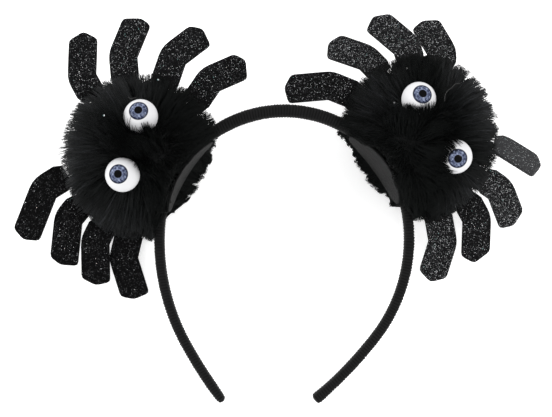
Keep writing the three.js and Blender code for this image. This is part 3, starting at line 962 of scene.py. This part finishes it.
def groom(spider):
    """The head of one pompom, with the comb, reach and thickness of the fur on each spot of it"""
    ball = bmesh.new()
    bmesh.ops.create_icosphere(ball, subdivisions=6, radius=1)
    mesh = shaped_mesh(f"{spider['side']}_fur_backing", ball)
    ways = np.array([vertex.co.normalized() for vertex in mesh.vertices])
    turn = np.array(HOOP_TURN)
    centre = in_row([(*spider["centre"], 0)])[0]
    short_way = np.array([*towards(spider["short"]["bearing"]), 0])
    shorter = 1 - spider["short"]["share"] * np.maximum(ways @ short_way, 0) ** 2
    room = solid_reach(spider, centre, [turn @ way for way in ways])
    root = np.minimum(FUR_ROOT * shorter, room - HEAD_INSIDE)
    thick = (room > FUR_ROOT * shorter + LEAST_STRAND).astype(float)

    # Fuller where it shows past the pad's rim, and round the outline, where nothing dark lies behind it
    outward = towards(spider["pad"]["at"])
    fringe = (-(ways[:, :2] @ outward) > 0.4) & (ways[:, 2] < -0.25)
    thick *= 1 + FRINGE_THICKER * fringe
    thick *= 1 + clipped(1.2 - 2.4 * np.abs(ways[:, 2] - 0.05))

    # Curled in round the pad's rim
    whorl = unit(np.array(spider["whorl"]))
    facing = ways @ whorl
    comb = combed(spider, ways, facing, whorl)
    comb -= np.append(outward, 0) * FRINGE_CURL * fringe[:, None]
    start = Vector((0, spider["seed"], 0))
    patch = np.array([noise.noise(Vector(way) * PATCH_SCALE + start) for way in ways])
    tip = FUR_REACH * shorter * (1 + PATCH * patch) + FRINGE_LONGER * fringe

    # Smooth at the whorl. Parted round each eye, except where it lies over the ball in finer, looser hairs
    tufted = 1 - WHORL_SMOOTHER * clipped((facing - 0.75) / 0.2)
    for eye in spider["eyes"].values():
        sight = eye_middle(eye) / EYE_SEAT
        apart = degrees_off(ways, sight)
        out = unit(ways - sight * (ways @ sight)[:, None])
        near = clipped((EYE_PARTED[0] - apart) / EYE_PARTED[1])
        straight = clipped((EYE_STRAIGHT[0] - apart) / EYE_STRAIGHT[1])
        across = np.minimum(np.sum(comb * out, axis=1), 0) * straight
        comb -= out * across[:, None]
        cover = eye["fur"]
        over = clipped((out[:, :2] @ np.array(cover["from"]) - cover["narrow"]) / COVER_EDGE)
        beside = near * (1 - over)
        laid = COVER_LAID * (apart - cover["bare"] - COVER_STAGGER * (apart - COVER_NEAREST))
        laid = np.radians(np.clip(laid, 0, COVER_MOST)) * over * (apart < COVER_WITHIN)
        comb += out * (beside * EYE_LEAN - laid)[:, None]
        tip -= beside * EYE_SHORTER
        thick *= (apart > EYE_BARE) * (1 + COVER_THICKER * near * over)
        tufted *= 1 - COVER_LOOSER * near * over

    # Painted sheen: patches where strands are painted lighter in colour and the coat is glossier
    painted_sheen_and_gloss = np.zeros(len(ways))
    for way, breadth, strength in spider["sheen"]:
        apart = degrees_off(ways, unit(np.array(way)))
        painted_sheen_and_gloss = np.maximum(painted_sheen_and_gloss, strength * clipped(SHEEN_EDGE - SHEEN_EDGE * apart / breadth))

    place = ways @ turn.T * (root * MM)[:, None] + centre
    mesh.vertices.foreach_set("co", place.ravel())
    mesh.shade_smooth()
    mark(mesh, "comb", comb @ turn.T, "FLOAT_VECTOR")
    for name, values in {"tip": tip * MM, "thick": thick, "painted_sheen_and_gloss": painted_sheen_and_gloss, "tufted": tufted}.items():
        mark(mesh, name, values)
    area = sum(p.area * np.mean(thick[list(p.vertices)]) for p in mesh.polygons)
    return mesh, centre, area


def fur_tree():
    """Strands from a head: combed, gathered into tufts, and kept out of eyes, pad, hoop side and floor"""
    sheet = ShapeSheet(
        "fur_strands",
        Float=[
            *["Density", "Tufts", "Gather", "Reach", "Ragged", "Stray", "Sway", "Width"],
            *["Eye_Radius", "Flat_Radius", "Bulge_Radius", "Pad_Radius", "Pad_Reach"],
        ],
        Vector=[
            *["Centre", "Eye_A", "Eye_B", "Flat_Point", "Flat_Axis", "Bulge_Point", "Pad_Middle"],
            *["Pad_Point", "Pad_Axis", "Crown_Way", "Notch_A", "Notch_B"],
        ],
        Int=["Seed"],
    )
    given = sheet.given
    from_centre = sheet.vector("SUBTRACT", sheet.first("GeometryNodeInputPosition"), given["Centre"])
    heading = sheet.vector("NORMALIZE", from_centre)

    # Each root belongs to the nearest tuft
    tufts = sheet.scattered(given["Tufts"], sheet.plus(given["Seed"], 1.0))["Points"]
    roots = sheet.scattered(sheet.times(given["Density"], sheet.named("thick")), given["Seed"])["Points"]
    nearest = sheet.first("GeometryNodeSampleNearest", {"Geometry": tufts})
    inputs = {"Geometry": tufts, "Value": heading, "Index": nearest}
    tuft_way = sheet.first("GeometryNodeSampleIndex", inputs, data_type="FLOAT_VECTOR")
    roots = sheet.store(
        roots,
        gather=sheet.vector("SUBTRACT", tuft_way, heading),
        tuft=sheet.random("tuft", -1.0, 1.0, nearest),
        heading=heading,
        root=sheet.length(from_centre),
        stray=sheet.random_vector("stray"),
        sway=sheet.random_vector("sway", nearest),
        tone=sheet.random("tone", 0.0, 1.0),
    )
    line = sheet.first("GeometryNodeCurvePrimitiveLine", {"End": (0.0, 0.0, 0.01)})
    jointed = sheet.first("GeometryNodeResampleCurve", {"Curve": line, "Count": STRAND_JOINTS})
    strands = sheet.first("GeometryNodeInstanceOnPoints", {"Points": roots, "Instance": jointed})
    strands = sheet.first("GeometryNodeRealizeInstances", {"Geometry": strands})
    strands = sheet.store(strands, along=sheet.add("GeometryNodeSplineParameter").outputs["Factor"])
    along = sheet.named("along")

    # Where each joint of a strand goes before anything stands in its way
    stray = sheet.named_vector("stray")
    stray_x, stray_y, stray_z = sheet.xyz(stray)
    tufted = sheet.times(along, sheet.named("tufted"))
    combed_off = sheet.scaled(sheet.named_vector("comb"), sheet.math("POWER", along, 1.5))
    gathered = sheet.scaled(sheet.named_vector("gather"), sheet.times(tufted, given["Gather"]))
    strayed = sheet.scaled(stray, sheet.times(along, given["Stray"]))
    swayed = sheet.scaled(sheet.named_vector("sway"), sheet.times(tufted, given["Sway"]))
    loose = sheet.vector("ADD", gathered, sheet.vector("ADD", strayed, swayed))
    way = sheet.vector("ADD", sheet.named_vector("heading"), combed_off)
    way = sheet.vector("NORMALIZE", sheet.vector("ADD", way, loose))
    uneven = sheet.plus(sheet.named("tuft"), sheet.times(stray_x, 0.7))
    uneven = sheet.plus(1.0, sheet.times(uneven, given["Ragged"]))
    reach = sheet.times(uneven, given["Reach"], sheet.named("tip"))
    radius = sheet.mixed(along, sheet.named("root"), reach)
    place = sheet.vector("ADD", given["Centre"], sheet.scaled(way, radius))

    def chosen_place(mask, a, b):
        return sheet.add("ShaderNodeMix", {0: mask, 4: b, 5: a}, data_type="VECTOR").outputs[1]

    def out_of_ball(place, middle):
        apart = sheet.vector("SUBTRACT", place, middle)
        grow = sheet.math("DIVIDE", given["Eye_Radius"], sheet.length(apart))
        return sheet.vector("ADD", middle, sheet.scaled(apart, sheet.math("MAXIMUM", grow, 1.0)))

    def out_of_roll(place, point, axis, radius):
        apart = sheet.vector("SUBTRACT", place, point)
        level = sheet.scaled(axis, sheet.dot(apart, axis))
        across = sheet.vector("SUBTRACT", apart, level)
        grow = sheet.math("MAXIMUM", sheet.math("DIVIDE", radius, sheet.length(across)), 1.0)
        return sheet.vector("ADD", sheet.vector("ADD", point, level), sheet.scaled(across, grow))

    def out_of_notch(place, notch):
        """Up or aside, whichever is less, out of the room below and beside the notch's corner"""
        apart = sheet.vector("SUBTRACT", place, given["Centre"])
        corner_x, corner_y, side = sheet.xyz(notch)
        past = sheet.times(side, sheet.minus(sheet.xyz(apart)[0], corner_x))
        below = sheet.minus(corner_y, sheet.dot(apart, given["Crown_Way"]))
        depth = sheet.math("MAXIMUM", sheet.math("MINIMUM", past, below), 0.0)
        aside = sheet.joined(sheet.times(side, depth, -1.0), 0.0, 0.0)
        up = sheet.scaled(given["Crown_Way"], depth)
        move = chosen_place(sheet.math("LESS_THAN", past, below), aside, up)
        return sheet.vector("ADD", place, move)

    for notch in ("Notch_A", "Notch_B"):
        place = out_of_notch(place, given[notch])
    for eye in ("Eye_A", "Eye_B"):
        place = out_of_ball(place, given[eye])

    # On the flattened side, out of the hoop or into the bulge, whichever is nearer
    uneven = sheet.plus(sheet.times(stray_y, 0.5), sheet.named("tuft"))
    uneven = sheet.times(uneven, FRINGE_RAGGED * MM)
    flat_radius = sheet.plus(given["Flat_Radius"], uneven)
    flat = out_of_roll(place, given["Flat_Point"], given["Flat_Axis"], flat_radius)
    apart = sheet.vector("SUBTRACT", place, given["Bulge_Point"])
    bulge_radius = sheet.plus(given["Bulge_Radius"], uneven)
    shrink = sheet.math("MINIMUM", sheet.math("DIVIDE", bulge_radius, sheet.length(apart)), 1.0)
    pressed = sheet.vector("ADD", given["Bulge_Point"], sheet.scaled(apart, shrink))
    beyond = sheet.minus(sheet.length(apart), bulge_radius)
    depth = sheet.length(sheet.vector("SUBTRACT", flat, place))
    place = chosen_place(sheet.math("LESS_THAN", beyond, depth), pressed, flat)

    # Behind the pad and above the floor
    behind = out_of_roll(place, given["Pad_Point"], given["Pad_Axis"], given["Pad_Radius"])
    off_middle = sheet.length(sheet.vector("SUBTRACT", place, given["Pad_Middle"]))
    under = sheet.math("LESS_THAN", off_middle, given["Pad_Reach"])
    x, y, z = sheet.xyz(chosen_place(under, behind, place))
    above = sheet.plus(FLOOR_CLEAR * MM, sheet.times(stray_z, FLOOR_UNEVEN * MM))
    place = sheet.joined(x, y, sheet.math("MAXIMUM", z, above))
    strands = sheet.first("GeometryNodeSetPosition", {"Geometry": strands, "Position": place})

    # Strands thin out to a point
    thinner = sheet.minus(1.0, sheet.times(sheet.math("POWER", along, 2.5), TIP_THINNER))
    section = sheet.first("GeometryNodeCurvePrimitiveCircle", {"Resolution": 3, "Radius": 1.0})
    inputs = {"Curve": strands, "Profile Curve": section, "Fill Caps": True}
    inputs["Scale"] = sheet.times(given["Width"], thinner)
    return sheet.close(sheet.first("GeometryNodeCurveToMesh", inputs))


def make_fur(spider, tree, fur, backing):
    side = spider["side"]
    head, centre, area = groom(spider)
    pad = spider["pad"]
    bulge = spider["bulge"]
    lean = seat_on_hoop(pad["at"], bulge["lean"])
    seat = seat_on_hoop(pad["at"], pad["roll"])

    def point(own_frame, *place):
        return tuple(HOOP @ (own_frame @ Vector(place)))

    def axis(own_frame):
        return tuple(HOOP_TURN @ (own_frame.to_3x3() @ Vector((0, 0, 1))))

    shared = {
        "Centre": tuple(centre),
        "Eye_A": tuple(node_middle(f"{side}_eye_upper")),
        "Eye_B": tuple(node_middle(f"{side}_eye_lower")),
        "Eye_Radius": (EYE_DIAMETER / 2 + OFF_EYE) * MM,
        "Flat_Point": point(lean, -PAD_RADIUS, FUR_FLAT_SLIDE, 0),
        "Flat_Axis": axis(lean),
        "Flat_Radius": FUR_FLAT_RADIUS * MM,
        "Bulge_Point": point(lean, bulge["reach"] + bulge["radius"] - PAD_RADIUS, 0, FUR_BULGE_LEVEL),
        "Bulge_Radius": bulge["radius"] * MM,
        "Pad_Middle": point(seat, 0, 0, 0),
        "Pad_Point": point(seat, -PAD_RADIUS, 0, 0),
        "Pad_Axis": axis(seat),
        "Pad_Radius": (PAD_RADIUS + PAD_THICK / 2 + OFF_PAD) * MM,
        "Pad_Reach": (PAD_DIAMETER / 2 + PAST_PAD) * MM,
        "Crown_Way": tuple(HOOP_TURN @ Vector((0, 1, 0))),
        "Notch_A": tuple(np.array(spider["notches"][0]) * (MM, MM, 1)),
        "Notch_B": tuple(np.array(spider["notches"][1]) * (MM, MM, 1)),
        "Gather": spider["gather"],
        "Ragged": RAGGED,
        "Width": STRAND_WIDTH * MM,
        "Finish": fur,
    }
    for layer, coat in COATS.items():
        name = f"{side}_fur_{layer}"
        amounts = {"Density": coat["strands"] / area, "Tufts": coat["tufts"] / area}
        seed = spider["seed"] + coat["seed"]
        mesh = grown(name, head, tree, Seed=seed, **amounts, **coat["inputs"], **shared)
        show(name, mesh, fur, "pompom_fur", *([f"{side}_pompom"] if layer == "outer" else []))
    unmark(head, HELPERS | {"painted_sheen_and_gloss"})
    show(f"{side}_fur_backing", head, backing, "pompom_fur")


# Lint


def on_fur(spider, x, y):
    """The place on the tips of the fur that is seen at (x, y) from the pompom's centre"""
    height = math.sqrt((FUR_REACH + LINT_LIFT) ** 2 - x**2 - y**2)
    return HOOP @ Vector((spider["centre"][0] + x, spider["centre"][1] + y, height))


def hair_tree():
    sheet = ShapeSheet("loose_hair", Float=["Width"], Int=["Steps"])
    given = sheet.given
    path = sheet.first("GeometryNodeMeshToCurve", {"Mesh": given["Geometry"]})
    path = sheet.first("GeometryNodeCurveSplineType", {"Curve": path}, spline_type="CATMULL_ROM")
    path = sheet.first("GeometryNodeResampleCurve", {"Curve": path, "Count": given["Steps"]})
    section = sheet.first("GeometryNodeCurvePrimitiveCircle", {"Resolution": 5, "Radius": given["Width"]})
    inputs = {"Curve": path, "Profile Curve": section, "Fill Caps": True}
    return sheet.close(sheet.first("GeometryNodeCurveToMesh", inputs))


def make_lint(spider, tree, pale, flakes):
    side = spider["side"]
    places = [on_fur(spider, x, y) for x, y in spider["hair"]]
    edges = [(i, i + 1) for i in range(len(places) - 1)]
    path = drawn_mesh(f"{side}_hair_path", places, edges, [])
    hair = grown(f"{side}_loose_hair", path, tree, Width=HAIR_WIDTH * MM, Steps=HAIR_STEPS, Finish=pale)
    show(f"{side}_loose_hair", hair, pale, "pompom_fur")
    width = SPECK_WIDTH * MM
    cone = {"segments": 6, "radius1": width / 2, "radius2": 0, "depth": SPECK_DEPTH * width}
    specks = bmesh.new()
    for x, y, _, _ in spider["specks"]:
        matrix = Matrix.Translation(on_fur(spider, x, y)) @ HOOP_TURN.to_4x4()
        bmesh.ops.create_cone(specks, cap_ends=True, matrix=matrix, **cone)
    mesh = shaped_mesh(f"{side}_specks", specks)
    each = len(mesh.vertices) // len(spider["specks"])
    mark(mesh, "flash", [flash for _, _, flash, _ in spider["specks"] for _ in range(each)])
    mark(mesh, "tint", [tint for _, _, _, tint in spider["specks"] for _ in range(each)])
    show(f"{side}_specks", mesh, flakes, "leg_foam")


# Studio


def make_floor(half):
    corners = [(-half, -half, 0), (half, -half, 0), (half, half, 0), (-half, half, 0)]
    mesh = drawn_mesh("floor", corners, [], [(0, 1, 2, 3)])
    mesh.materials.append(paper_finish())
    floor = linked("floor", mesh)


def add_light(name, place, size, power):
    light = bpy.data.lights.new(name, "AREA")
    light.shape = "RECTANGLE"
    light.size, light.size_y = size
    light.energy = power
    lamp = linked(name, light)
    lamp.location = place
    lamp.rotation_euler = (Vector(LAMP_AIM) - Vector(place)).to_track_quat("-Z", "Y").to_euler()


def make_studio():
    make_floor(half=4.0)
    world = bpy.data.worlds.new("studio")
    world.use_nodes = True
    sky = world.node_tree.nodes["Background"]
    sky.inputs["Color"].default_value = (1, 1, 1, 1)
    sky.inputs["Strength"].default_value = 1.2
    bpy.context.scene.world = world
    add_light("right_softbox", place=(0.56, -0.16, 1.0), size=(0.12, 0.28), power=3.5)
    add_light("left_softbox", place=(-0.95, 0.1, 0.6), size=(0.3, 0.3), power=4)
    bpy.context.scene.view_settings.view_transform = "Standard"

    camera = bpy.data.cameras.new("camera")
    camera.sensor_width = SENSOR
    camera.sensor_fit = "HORIZONTAL"
    camera.lens = SENSOR * VIEW_DISTANCE / VIEW_WIDTH
    camera.clip_start = 0.01
    seen = linked("camera", camera)
    stand = HOOP @ (Vector(VIEW_AIM) + Vector((0, 0, VIEW_DISTANCE)))
    seen.matrix_world = Matrix.Translation(stand) @ HOOP_TURN.to_4x4()
    bpy.context.scene.camera = seen


# Making

make_studio()
make_band()
felt = felt_finish()
plastic = eye_finish()
foam = foam_finish()
flakes = flake_finish()
fur = fur_finish()
backing = backing_finish()
pale = lint_finish()
sparkle = glitter_tree()
strands = fur_tree()
hairs = hair_tree()
for spider in SPIDERS:
    make_pad(spider, felt)
    for name, eye in spider["eyes"].items():
        make_eye(f"{spider['side']}_eye_{name}", eye, plastic)
    shiny = leg_pieces(spider, foam)
    make_glitter(spider, shiny, sparkle, flakes)
    make_fur(spider, strands, fur, backing)
    make_lint(spider, hairs, pale, flakes)
